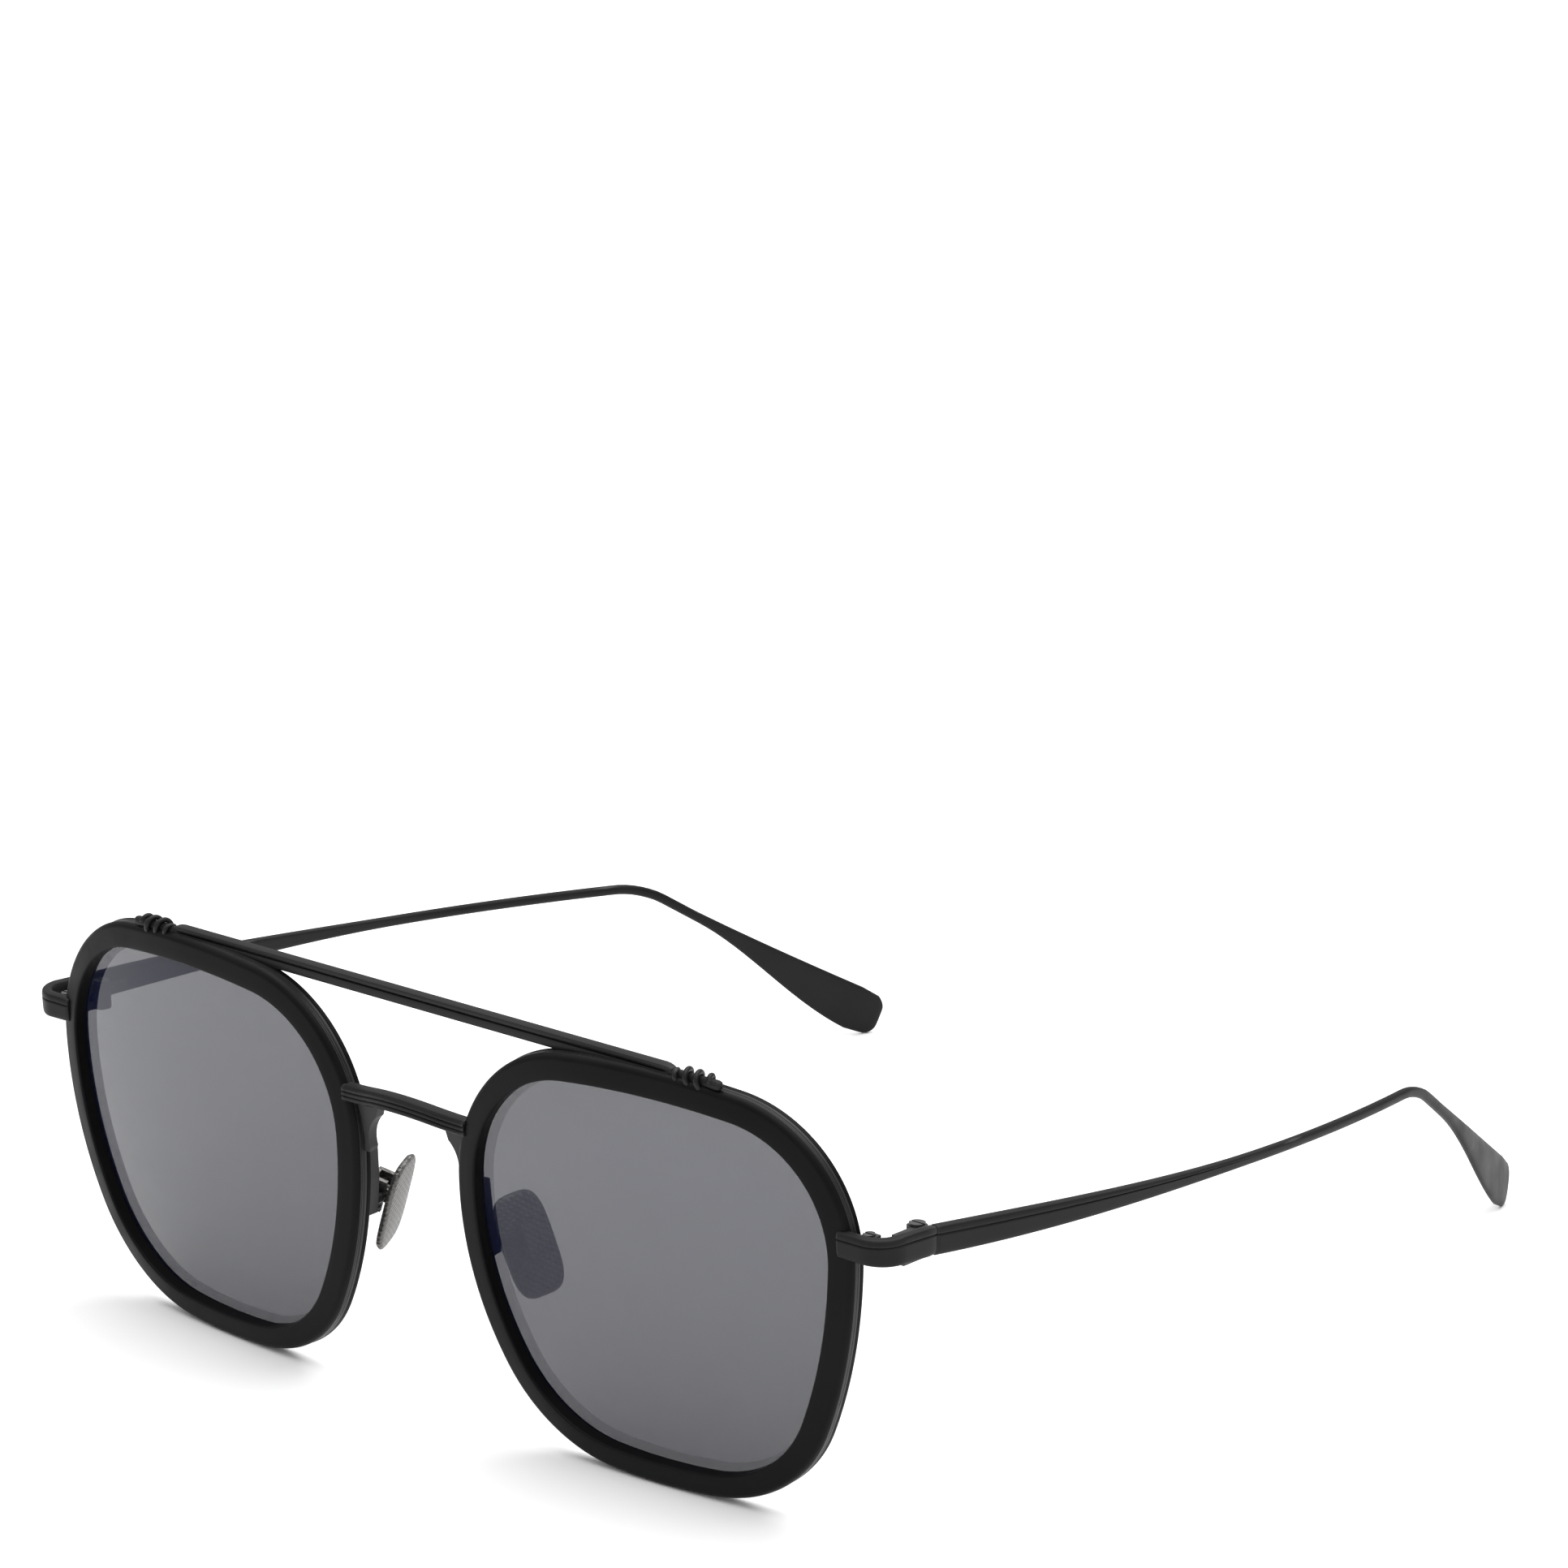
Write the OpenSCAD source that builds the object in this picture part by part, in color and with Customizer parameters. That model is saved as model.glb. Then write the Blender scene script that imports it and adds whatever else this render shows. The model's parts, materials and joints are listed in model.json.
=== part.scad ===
// Wire-and-acetate aviator sunglasses: acetate ringed rims in metal eyewires, a straight brow bar
// lashed on with wire coils, a ribbed bridge, rocking nose pads and two folding metal temples.
// Built in the frame of the front (X across, Y towards the ears, Z up), then tipped by front_tilt so
// that the rims and the temple tips stand on the plane Z = 0.

/* [Front] */
// Distance from the middle of the bridge to the middle of each lens
lens_offset = 36.5; // [35.5:0.1:37.5]
// Angle by which each lens turns back towards the ear
wrap_angle = 4.8; // [3.5:0.1:6]
// Radius of the curved front surface of rims and lenses
base_radius = 142; // [120:1:180]
// Lean of the front when the sunglasses stand on a table
front_tilt = 4.32; // [4.2:0.02:4.44]

/* [Rims] */
// Width of the acetate ring, from the lens opening to its rounded shoulder
ring_width = 3.05; // [2.95:0.05:3.2]
// Thickness of the acetate ring, front to back
ring_depth = 2.3; // [2.25:0.05:2.5]
// Depth of the lens surface behind the front of the ring
lens_setback = 1.62; // [1.5:0.02:1.66]
// Thickness of each lens
lens_thickness = 1.7; // [1.5:0.1:2]

/* [Temples] */
// Length of each temple along its straight part, hinge to ear bend
temple_straight = 96; // [92:1:100]
// Length of each temple from the ear bend to its tip
temple_drop = 50; // [47:1:52]
// Downward pitch of the straight part, measured from the front
temple_pitch = 8.9; // [8.5:0.1:9.2]
// Downward angle of the part behind the ear, measured from the front
tip_pitch = 36.6; // [35:0.2:38]
// Greatest width of the flat paddle at the tip
paddle_width = 6.6; // [6:0.1:7.2]
// Height of the temple where it meets the hinge
temple_height = 3.4; // [3:0.1:3.6]

/* [Nose pads] */
// Length of each nose pad
pad_length = 12.6; // [11.5:0.1:13.5]
// Width of each nose pad
pad_width = 6.6; // [6.2:0.1:7.2]

/* [Hidden] */

$fn = 48;
fit_gap = 0.02;        // between pieces that are soldered or seated on each other
run_gap = 0.03;        // radial clearance of a pin in its barrel

// Colours
acetate_black = [0.09, 0.09, 0.095];
metal_black = [0.17, 0.17, 0.175];
screw_grey = [0.35, 0.35, 0.36];
lens_grey = [0.45, 0.46, 0.5, 0.85];
pad_grey = [0.55, 0.54, 0.53];

// Where the standing object's origin lies in the frame of the front
stand_drop = 25.967;
stand_back = 73.1;

// Lens opening: four corner circles [across, up, radius], outer top first, then anticlockwise,
// joined by four long arcs. Across is positive towards the ear.
corners = [[10.6, 6.7, 14.3], [-9.5, 5.6, 15.6], [-6, -7, 16], [5.7, -7, 16]];
sides = [96, 40, 94, 53.5];
corner_steps = 10;
side_steps = 4;

// Metal band that lies in the outer groove of the ring
band_inner = 2.3;
band_outer = 3.0;
band_front = 0.64;
band_back = 1.7;

// Brow bar
bar_y = 4.0;
bar_z = 24.65;
bar_tall = 1.8;
bar_deep = 1.4;
bar_half = 40.3;       // to the shoulder where the bar turns into a thin rod
bar_rod_r = 0.6;
bar_rod_end = 47.4;
coil_wire_r = 0.32;
coil_turns = 3;
coil_pitch = 1.6;
coil_start = 41.4;

// Bridge
bridge_half = 9.9;
bridge_end_y = 1.3;
bridge_end_z = 11.9;
bridge_bow = 1.5;      // how far the middle stands forward and up from the ends
bridge_lean = 49;      // direction of that bow, from straight up towards the front
bridge_tall = 2.0;
bridge_deep = 1.7;

// End piece
end_x = 62.4;
end_z = 9.3;
end_front = 4.6;
end_thick = 1.4;
elbow_r = 3.1;
arm_x = 68.7;

// Screw that closes the eyewire
lock_x = 65.15;
lock_y = 7.1;

// Hinge
hinge_x = 66.35;
hinge_y = 13.6;
hinge_z = 7.8;
strip_z = 8.25;        // middle of the strip where end piece and temple meet
barrel_r = 1.2;
pin_r = 0.55;
knuckle = 1.05;        // height of each of the three barrels
knuckle_gap = 0.04;
butt_y = 13.5;         // plane where end piece and temple meet when open
butt_gap = 0.12;

// Nose pads: middle of the pad's lug, then its turn towards the nose and its flare at the bottom
pad_pos = [12.1, 8.1, -3.5];
pad_turn = 68;
pad_flare = -21.5;
pad_back = 1.3;
pad_thick = 1.1;

function unit(v) = v / norm(v);
function lerp(a, b, t) = a + (b - a) * t;

// Centre of the long arc of radius r that is tangent to corner circles a and b from outside
function arc_centre(a, b, r) =
    let (span = [b[0] - a[0], b[1] - a[1]], d = norm(span), along = span / d,
         inward = [-along[1], along[0]], ra = r - a[2], rb = r - b[2],
         x = (ra * ra - rb * rb + d * d) / (2 * d))
    [a[0], a[1]] + along * x + inward * sqrt(ra * ra - x * x);
function heading(from, to) = atan2(to[1] - from[1], to[0] - from[0]);
function past(angle, start) = angle < start ? angle + 360 : angle;
arc_mid = [for (i = [0:3]) arc_centre(corners[i], corners[(i + 1) % 4], sides[i])];

// Outline of the lens opening, grown outwards by grow
function outline(grow) = [
    for (i = [0:3])
        let (c = corners[i], n = corners[(i + 1) % 4],
             a0 = heading(arc_mid[(i + 3) % 4], c), a1 = past(heading(arc_mid[i], c), a0),
             a2 = past(heading(arc_mid[i], n), a1 - 1))
        each concat(
            [for (k = [0:corner_steps - 1]) let (a = lerp(a0, a1, k / corner_steps))
                [c[0], c[1]] + (c[2] + grow) * [cos(a), sin(a)]],
            [for (k = [0:side_steps - 1]) let (a = lerp(a1, a2, k / side_steps))
                arc_mid[i] + (sides[i] + grow) * [cos(a), sin(a)]])];

// Point of the curved front surface at p, set back by depth
function on_surface(p, depth) = [p[0], (p[0] * p[0] + p[1] * p[1]) / (2 * base_radius) + depth, p[1]];

// Triangles between rings of points that all have the same count
function skin(rings, count, closed_loop) = [
    for (i = [0:rings - (closed_loop ? 1 : 2)], j = [0:count - 1])
        let (a = i * count + j, b = i * count + (j + 1) % count,
             c = ((i + 1) % rings) * count + (j + 1) % count, d = ((i + 1) % rings) * count + j)
        each [[a, b, c], [a, c, d]]];

// Ring swept round the outline. section holds [outward, depth] points
module swept_ring(section) {
    n = len(section);
    rows = [for (s = section) outline(s[0])];
    m = len(rows[0]);
    points = [for (i = [0:m - 1], j = [0:n - 1]) on_surface(rows[j][i], section[j][1])];
    polyhedron(points, [for (t = skin(m, n, true)) [t[0], t[2], t[1]]], convexity = 6);
}

// Bar swept along path, with one [half thickness, half height] pair per station
module swept_bar(path, halves, bevel = 0.3) {
    n = len(path);
    rings = [for (i = [0:n - 1])
        let (t = unit(path[min(i + 1, n - 1)] - path[max(i - 1, 0)]),
             s = unit(cross(t, [0, 0, 1])), w = cross(s, t), b = halves[i][0], h = halves[i][1],
             k = bevel * min(b, h))
        each [for (q = [[b, h - k], [b - k, h], [k - b, h], [-b, h - k],
                        [-b, k - h], [k - b, -h], [b - k, -h], [b, k - h]])
            path[i] + s * q[0] + w * q[1]]];
    faces = concat(skin(n, 8, false), [[for (j = [7:-1:0]) j]], [[for (j = [0:7]) (n - 1) * 8 + j]]);
    polyhedron(rings, faces, convexity = 6);
}

// Places the front's frame on the table, and mirrors it for the wearer's right side
module stand(side = 1) {
    translate([0, -stand_back, stand_drop])
        rotate([front_tilt, 0, 0])
            mirror([side < 0 ? 1 : 0, 0, 0])
                children();
}
module in_rim() {
    translate([lens_offset, 0, 0])
        rotate([0, 0, wrap_angle])
            children();
}
module block(low, high) {
    translate(low)
        cube(high - low);
}

// Clearances cut in the ring and band where the other metal parts cross them
module brow_relief() {
    block([20, bar_y - bar_deep / 2 - fit_gap, bar_z - bar_tall / 2 - fit_gap], [bar_half + 0.1, 8, 30]);
    translate([bar_half, bar_y, bar_z])
        rotate([0, 90, 0])
            cylinder(r = bar_rod_r + 2 * coil_wire_r + 0.06, h = 7.2);
    block([bar_half, bar_y, bar_z - 1], [bar_rod_end + 0.3, 8, 30]);
}
module bridge_relief() {
    block([0, -4, bridge_end_z - bridge_tall / 2 - 0.12],
          [bridge_half + 0.05, bridge_end_y + bridge_deep / 2 + 0.05, bridge_end_z + bridge_tall / 2 + 0.12]);
}
module end_relief() {
    block([end_x - fit_gap, 0, end_z - temple_height / 2 + 0.18],
          [80, end_front + end_thick + fit_gap, end_z + temple_height / 2 - 0.18]);
}
module rim(side) {
    section = [[0, 0.12], [0.2, 0], [2.35, 0.05], [ring_width - 0.22, 0.22], [ring_width, 0.62],
               [band_inner - fit_gap, 0.62], [band_inner - fit_gap, band_back + fit_gap],
               [ring_width, band_back + fit_gap], [ring_width, ring_depth], [0.3, ring_depth],
               [0.3, lens_setback + 0.5], [0.75, lens_setback + 0.5], [0.75, lens_setback],
               [0, lens_setback]];
    color(acetate_black)
        stand(side)
            difference() {
                in_rim()
                    swept_ring(section);
                brow_relief();
                bridge_relief();
                end_relief();
            }
}

module eyewire(side) {
    section = [[band_inner, band_front], [band_outer, band_front],
               [band_outer, band_back], [band_inner, band_back]];
    saw_cut = 0.3;
    color(metal_black)
        stand(side)
            difference() {
                in_rim()
                    swept_ring(section);
                brow_relief();
                bridge_relief();
                end_relief();
                block([62, 0, end_z - saw_cut / 2], [80, 12, end_z + saw_cut / 2]);
            }
}

// Closed lens with a thin tongue round its edge that seats in the ring's groove
module lens(side) {
    edge = 0.18;
    tongue = 0.65;
    front = lens_setback + fit_gap;
    back = lens_setback + lens_thickness;
    rows = [[0.35, 0, front], [0.7, 0, front], [1, edge, front], [1, tongue, front + 0.04],
            [1, tongue, front + 0.4], [1, edge, front + 0.44], [1, edge, back - 0.15], [0.985, edge, back],
            [0.7, 0, back], [0.35, 0, back]];
    m = len(outline(0));
    rings = [for (r = rows) each [for (p = outline(r[1])) on_surface(p * r[0], r[2])]];
    last = len(rows) * m;
    points = concat(rings, [on_surface([0, 0], front), on_surface([0, 0], back)]);
    faces = concat(skin(len(rows), m, false),
                   [for (j = [0:m - 1]) [last, (j + 1) % m, j]],
                   [for (j = [0:m - 1]) [last + 1, last - m + j, last - m + (j + 1) % m]]);
    color(lens_grey)
        stand(side)
            in_rim()
                polyhedron(points, faces, convexity = 4);
}

module brow_bar() {
    groove = 0.18;
    color(metal_black)
        stand()
            for (s = [0, 1])
                mirror([s, 0, 0])
                    translate([0, bar_y, bar_z])
                        rotate([90, 0, 90]) {
                            linear_extrude(height = bar_half)
                                polygon([[-bar_deep / 2, -bar_tall / 2], [bar_deep / 2, -bar_tall / 2],
                                         [bar_deep / 2, bar_tall / 2], [0.1 - bar_deep / 2, bar_tall / 2],
                                         [-bar_deep / 2, 0.42], [groove - bar_deep / 2, 0.3],
                                         [-bar_deep / 2, 0.18]]);
                            cylinder(r = bar_rod_r, h = bar_rod_end - bar_rod_r);
                            translate([0, 0, bar_rod_end - bar_rod_r])
                                sphere(r = bar_rod_r);
                        }
}

// Turns of wire wound tightly round the thin rod
module brow_coil(side) {
    turn_r = bar_rod_r + coil_wire_r + 0.01;
    color(metal_black)
        stand(side)
            for (k = [0:coil_turns - 1])
                translate([coil_start + k * coil_pitch, bar_y, bar_z])
                    rotate([0, 90, 0])
                        rotate_extrude()
                            translate([turn_r, 0])
                                circle(r = coil_wire_r, $fn = 20);
}

// Bridge, arched in the middle and flattening towards both ends, with three lengthwise ribs in front
module bridge() {
    turn = 2 * atan(bridge_bow / bridge_half);
    bend = bridge_half / (2 * sin(turn));
    half = bridge_tall / 2;
    deep = bridge_deep / 2;
    rib = 0.16;
    profile = [[-deep, -half + 0.15], [-deep, -0.45], [rib - deep, -0.35], [-deep, -0.25], [-deep, 0.25],
               [rib - deep, 0.35], [-deep, 0.45], [-deep, half - 0.15], [0.2 - deep, half], [deep, half],
               [deep, -half], [0.2 - deep, -half]];
    out = [0, cos(bridge_lean), sin(bridge_lean)];
    steps = 28;
    rings = [for (k = [0:steps])
        let (x = bridge_half * (2 * k / steps - 1), middle = abs(x) < bridge_half / 2,
             a = middle ? asin(x / bend) : sign(x) * asin((bridge_half - abs(x)) / bend),
             rise = middle ? bridge_bow - bend * (1 - cos(a)) : bend * (1 - cos(a)),
             lean = [sin(a), -cos(a) * sin(bridge_lean), cos(a) * cos(bridge_lean)],
             back = out * cos(bridge_lean) - lean * sin(bridge_lean),
             up = out * sin(bridge_lean) + lean * cos(bridge_lean))
        each [for (p = profile)
            [x, bridge_end_y - rise * sin(bridge_lean), bridge_end_z + rise * cos(bridge_lean)]
                + back * p[0] + up * p[1]]];
    n = len(profile);
    faces = concat(skin(steps + 1, n, false), [[for (j = [n - 1:-1:0]) j]],
                   [[for (j = [0:n - 1]) steps * n + j]]);
    color(metal_black)
        stand()
            polyhedron(rings, faces, convexity = 4);
}

// Curved gusset from the underside of the bridge down to the eyewire
module bridge_foot(side) {
    low = 4.6;
    top = bridge_end_z - bridge_tall / 2 - 0.12;
    color(metal_black)
        stand(side)
            difference() {
                translate([0, 3.2, 0])
                    rotate([90, 0, 0])
                        linear_extrude(height = 1.3)
                            difference() {
                                polygon([[5.4, top], [12, top], [12, low], [7.4, low]]);
                                translate([3.4, 6.2])
                                    circle(r = 3.95);
                            }
                in_rim()
                    translate([0, 12, 0])
                        rotate([90, 0, 0])
                            linear_extrude(height = 20)
                                polygon(outline(ring_width + fit_gap));
            }
}

// Plan of the end piece: out from the rim, round the elbow, then back to the hinge
function elbow_path() =
    let (y0 = end_front + end_thick / 2, r = elbow_r, x0 = arm_x - r)
    concat([[end_x, y0, end_z], [x0 - 1, y0, end_z]],
           [for (a = [0:15:75]) [x0 + r * sin(a), y0 + r * (1 - cos(a)), end_z - 0.1 * a / 75]],
           [[arm_x, y0 + r + 0.4, end_z - 0.2], [arm_x, 10, end_z - 0.42],
            [arm_x, butt_y + 0.5, strip_z + 0.1]]);

module end_piece(side) {
    path = elbow_path();
    steps = len(path) - 1;
    low = temple_height / 2 - 0.2;
    color(metal_black)
        stand(side)
            difference() {
                swept_bar(path, [for (i = [0:steps])
                    [end_thick / 2, lerp(low, temple_height / 2, i / steps)]], 0.2);
                block([60, butt_y - butt_gap, 0], [80, 20, 20]);
            }
}

// Two small blocks on the ends of the eyewire, drawn together by a screw
module rim_lock(side) {
    color(metal_black)
        stand(side)
            difference() {
                for (low = [end_z - 0.9, end_z + 0.15])
                    block([lock_x - 0.9, 6.2, low], [lock_x + 0.9, 8, low + 0.75]);
                translate([lock_x, lock_y, end_z - 3])
                    cylinder(r = 0.5 + fit_gap, h = 6);
            }
}
module rim_lock_screw(side) {
    color(screw_grey)
        stand(side)
            translate([lock_x, lock_y, end_z])
                difference() {
                    union() {
                        translate([0, 0, -1.1])
                            cylinder(r = 0.5, h = 2.1);
                        translate([0, 0, 0.9 + fit_gap])
                            cylinder(r = 0.7, h = 0.24);
                    }
                    translate([-1, -0.12, 1.04])
                        cube([2, 0.24, 1]);
                }
}

// Frame of the hinge: its Z runs along the pin, upright when the sunglasses stand on the table
module at_hinge(side) {
    stand(side)
        translate([hinge_x, hinge_y, hinge_z])
            rotate([-front_tilt, 0, 0])
                children();
}
barrels_low = -1.5 * knuckle - knuckle_gap;
leaf_face = arm_x - end_thick / 2 - hinge_x - fit_gap;

module hinge_front(side) {
    color(metal_black)
        at_hinge(side)
            for (low = [barrels_low, knuckle / 2 + knuckle_gap])
                difference() {
                    union() {
                        translate([0, 0, low])
                            cylinder(r = barrel_r, h = knuckle);
                        block([-0.1, -4.2, low], [leaf_face, 0, low + knuckle]);
                    }
                    translate([0, 0, -4])
                        cylinder(r = pin_r + fit_gap, h = 8);
                }
}
module hinge_rear(side) {
    leaf_end = 5.2;
    color(metal_black)
        at_hinge(side)
            difference() {
                union() {
                    translate([0, 0, -knuckle / 2])
                        cylinder(r = barrel_r, h = knuckle);
                    block([0.6, 0, -knuckle / 2], [leaf_face, leaf_end, knuckle / 2]);
                }
                translate([0, 0, -4])
                    cylinder(r = pin_r + run_gap, h = 8);
            }
}
module hinge_screw(side) {
    head_r = 0.95;
    color(screw_grey)
        at_hinge(side)
            difference() {
                union() {
                    translate([0, 0, barrels_low - 0.25])
                        cylinder(r = pin_r, h = 3 * knuckle + 2 * knuckle_gap + 0.3);
                    translate([0, 0, -barrels_low + fit_gap])
                        cylinder(r = head_r, h = 0.32);
                }
                translate([-2, -0.13, -barrels_low + 0.18])
                    cube([4, 0.26, 1]);
            }
}

// Centre line of the temple: a gentle outward bow in plan, a straight run and a drop behind the ear
bend_r = 15;
bow_start = 8.4;       // plan heading at the hinge, outwards
bow_radius = 256;
function temple_plan(s) =
    let (a = s / bow_radius * 180 / PI)
    [arm_x + bow_radius * (cos(a - bow_start) - cos(bow_start)),
     bow_radius * (sin(a - bow_start) + sin(bow_start))];
function temple_fall(s) =
    let (turn = tip_pitch - temple_pitch, run = bend_r * tan(turn / 2),
         s1 = temple_straight - run, s2 = s1 + bend_r * turn * PI / 180)
    s < s1 ? s * tan(temple_pitch)
    : s < s2 ? s1 * tan(temple_pitch)
        + bend_r * (cos(temple_pitch) - cos(temple_pitch + (s - s1) / bend_r * 180 / PI)) / cos(temple_pitch)
    : s1 * tan(temple_pitch) + bend_r * (cos(temple_pitch) - cos(tip_pitch)) / cos(temple_pitch)
        + (s - s2) * tan(tip_pitch);
temple_plan_length = temple_straight * cos(temple_pitch) + temple_drop * cos(tip_pitch) - 1;
wire = 0.66;           // half the height of the wire at the ear bend
blade = temple_plan_length - 24;
function ease(t) = let (u = min(1, max(0, t))) u * u * (3 - 2 * u);
function grow(s, start, run, power) = pow(min(1, max(0, (s - start) / run)), power);

// Upper and lower edge of the temple, measured square to its centre line. Behind the ear the upper
// edge stays almost straight, and the lower edge drops into the paddle and rises again at the end.
function body_half(s) = lerp(temple_height / 2, wire, ease(s / 56));
function upper_edge(s) = body_half(s) + 1.9 * grow(s, blade - 6, 30, 1.4) - grow(s, blade + 21.5, 2.5, 2);
function lower_edge(s) =
    -body_half(s) - (paddle_width - 3.1) * ease((s - blade + 4) / 24) + 1.6 * grow(s, blade + 21, 3, 2);
function temple_half(s) =
    [lerp(lerp(0.7, 0.6, ease(s / 56)), 0.45, ease((s - blade + 8) / 24)),
     (upper_edge(s) - lower_edge(s)) / 2];
function temple_point(s) =
    let (p = temple_plan(s), shift = (upper_edge(s) + lower_edge(s)) / 2)
    [p[0], butt_y + p[1] + shift * sin(tip_pitch), strip_z + 0.05 - temple_fall(s) + shift * cos(tip_pitch)];

module temple(side) {
    stations = [-0.5, 8, 16, 24, 32, 40, 48, 56, 66, 76, 84, each [88:2:blade - 3],
                each [blade - 1:2.5:temple_plan_length - 3], temple_plan_length - 2,
                temple_plan_length - 0.8, temple_plan_length];
    color(metal_black)
        stand(side)
            difference() {
                swept_bar([for (s = stations) temple_point(s)], [for (s = stations) temple_half(s)]);
                block([60, 8, 0], [80, butt_y, 20]);
            }
}

// Frame of a nose pad: X along its screw, Y towards the nose, Z up its length
module at_pad(side) {
    stand(side)
        translate(pad_pos)
            rotate([0, pad_flare, 0])
                rotate([0, 0, pad_turn])
                    children();
}

// Plate on the back of the eyewire beside the nose, with a stem that carries the pad box
module pad_arm(side) {
    near = 5.12;
    plate = 1.53;
    stem = [[10.05, 3.6, -2.9], [10.3, 4.6, -3.1], [10.75, 5.6, -3.4], [11.38, 6.7, -3.75]];
    color(metal_black)
        stand(side) {
            in_rim()
                translate([0, near + plate, 0])
                    rotate([90, 0, 0])
                        linear_extrude(height = plate)
                            intersection() {
                                difference() {
                                    polygon(outline(2.5));
                                    polygon(outline(1.3));
                                }
                                translate([-32, -4.4])
                                    square([12, 9]);
                            }
            swept_bar(stem, [for (p = stem) [0.45, 0.6]], 0.5);
        }
}
module pad_box(side) {
    color(metal_black)
        at_pad(side)
            difference() {
                block([-1.3, -1.5, -2.3], [1.3, 0.5, 2.1]);
                block([-0.75, -1.05, -3], [0.75, 1, 3]);
                rotate([0, 90, 0])
                    cylinder(r = 0.35 + fit_gap, h = 6, center = true);
            }
}
module pad_screw(side) {
    color(screw_grey)
        at_pad(side)
            rotate([0, 90, 0]) {
                translate([0, 0, -1.45])
                    cylinder(r = 0.35, h = 2.8);
                translate([0, 0, 1.32])
                    cylinder(r = 0.62, h = 0.35);
            }
}
function pad_outline(w, h) = [for (a = [0:10:350])
    let (c = cos(a), s = sin(a)) [w / 2 * sign(c) * pow(abs(c), 0.55), h / 2 * sign(s) * pow(abs(s), 0.55)]];
module nose_pad(side) {
    color(pad_grey)
        at_pad(side) {
            translate([0, pad_back + pad_thick, -0.9])
                rotate([90, 0, 0])
                    linear_extrude(height = pad_thick)
                        polygon(pad_outline(pad_width, pad_length));
            difference() {
                block([-0.6, -0.55, -0.7], [0.6, pad_back + 0.1, 0.7]);
                rotate([0, 90, 0])
                    cylinder(r = 0.35 + run_gap, h = 4, center = true);
            }
        }
}

rim(1);  // rim_left
rim(-1);  // rim_right
eyewire(1);  // eyewire_left
eyewire(-1);  // eyewire_right
lens(1);  // lens_left
lens(-1);  // lens_right
brow_bar();
brow_coil(1);  // brow_coil_left
brow_coil(-1);  // brow_coil_right
bridge();
bridge_foot(1);  // bridge_foot_left
bridge_foot(-1);  // bridge_foot_right
end_piece(1);  // end_piece_left
end_piece(-1);  // end_piece_right
rim_lock(1);  // rim_lock_left
rim_lock(-1);  // rim_lock_right
rim_lock_screw(1);  // rim_lock_screw_left
rim_lock_screw(-1);  // rim_lock_screw_right
hinge_front(1);  // hinge_front_left
hinge_front(-1);  // hinge_front_right
hinge_rear(1);  // hinge_rear_left
hinge_rear(-1);  // hinge_rear_right
hinge_screw(1);  // hinge_screw_left
hinge_screw(-1);  // hinge_screw_right
temple(1);  // temple_left
temple(-1);  // temple_right
pad_arm(1);  // pad_arm_left
pad_arm(-1);  // pad_arm_right
pad_box(1);  // pad_box_left
pad_box(-1);  // pad_box_right
pad_screw(1);  // pad_screw_left
pad_screw(-1);  // pad_screw_right
nose_pad(1);  // nose_pad_left
nose_pad(-1);  // nose_pad_right
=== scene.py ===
"""Looks for the wire-and-acetate aviator sunglasses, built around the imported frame.

Shapes are worked out in millimetres in the frame of the front (X across, Y towards the ears, Z up),
for the wearer's left side, and stand() puts them in the row frame in metres.
"""
import json
import math

import bmesh
import bpy
from mathutils import Matrix, Vector


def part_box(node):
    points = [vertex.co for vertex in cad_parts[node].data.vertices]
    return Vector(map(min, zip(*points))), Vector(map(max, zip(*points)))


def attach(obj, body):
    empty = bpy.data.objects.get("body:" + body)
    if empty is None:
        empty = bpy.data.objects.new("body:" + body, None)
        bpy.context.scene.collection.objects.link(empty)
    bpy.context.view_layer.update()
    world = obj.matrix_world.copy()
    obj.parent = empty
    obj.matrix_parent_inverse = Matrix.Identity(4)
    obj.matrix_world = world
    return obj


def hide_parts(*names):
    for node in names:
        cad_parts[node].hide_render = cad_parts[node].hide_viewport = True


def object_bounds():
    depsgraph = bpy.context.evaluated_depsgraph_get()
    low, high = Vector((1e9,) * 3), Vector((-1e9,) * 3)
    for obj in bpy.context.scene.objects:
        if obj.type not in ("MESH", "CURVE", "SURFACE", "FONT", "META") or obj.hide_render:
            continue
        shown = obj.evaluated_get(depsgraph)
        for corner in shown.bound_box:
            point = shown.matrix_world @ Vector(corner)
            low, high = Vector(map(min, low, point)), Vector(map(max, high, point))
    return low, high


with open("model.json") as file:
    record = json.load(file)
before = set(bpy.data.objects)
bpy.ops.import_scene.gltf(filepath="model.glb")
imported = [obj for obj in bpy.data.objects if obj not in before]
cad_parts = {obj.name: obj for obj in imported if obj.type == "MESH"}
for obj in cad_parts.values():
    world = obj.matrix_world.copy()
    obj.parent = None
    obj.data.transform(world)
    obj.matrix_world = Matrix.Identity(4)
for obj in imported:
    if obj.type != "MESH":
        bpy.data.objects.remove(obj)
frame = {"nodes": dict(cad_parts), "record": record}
cad_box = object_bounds()

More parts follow.
